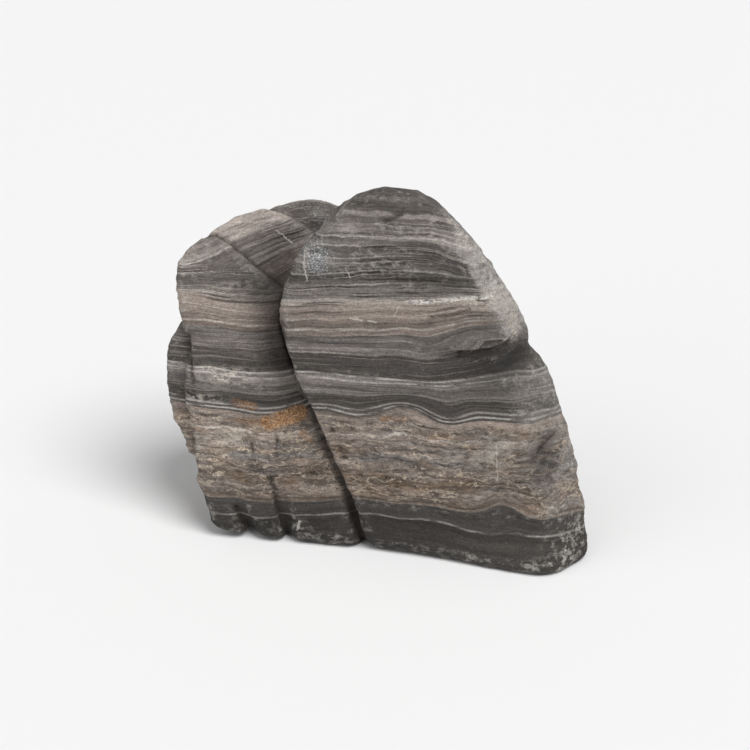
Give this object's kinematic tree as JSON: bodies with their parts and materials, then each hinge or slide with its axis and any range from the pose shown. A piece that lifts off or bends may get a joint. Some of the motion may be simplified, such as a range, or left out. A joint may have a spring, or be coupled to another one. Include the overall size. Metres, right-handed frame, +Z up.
{
  "type": "aquascaping rock",
  "caption": "Upright banded sedimentary stone with a deep cleft, stepped left side and overhanging cap, standing on a flat base.",
  "frame": {"origin": "middle of the bounding box, on the ground", "axes": "+X along the longest extent, from the low stepped side to the high lobe, +Y toward the back, across the thickness, +Z up"},
  "size_m": [0.2154, 0.1122, 0.1868],
  "materials": {
    "stone": "dry and dull, finely banded in charcoal, grey, beige and white"
  },
  "bodies": {
    "root": {"stone": "stone"}
  },
  "joints": []
}
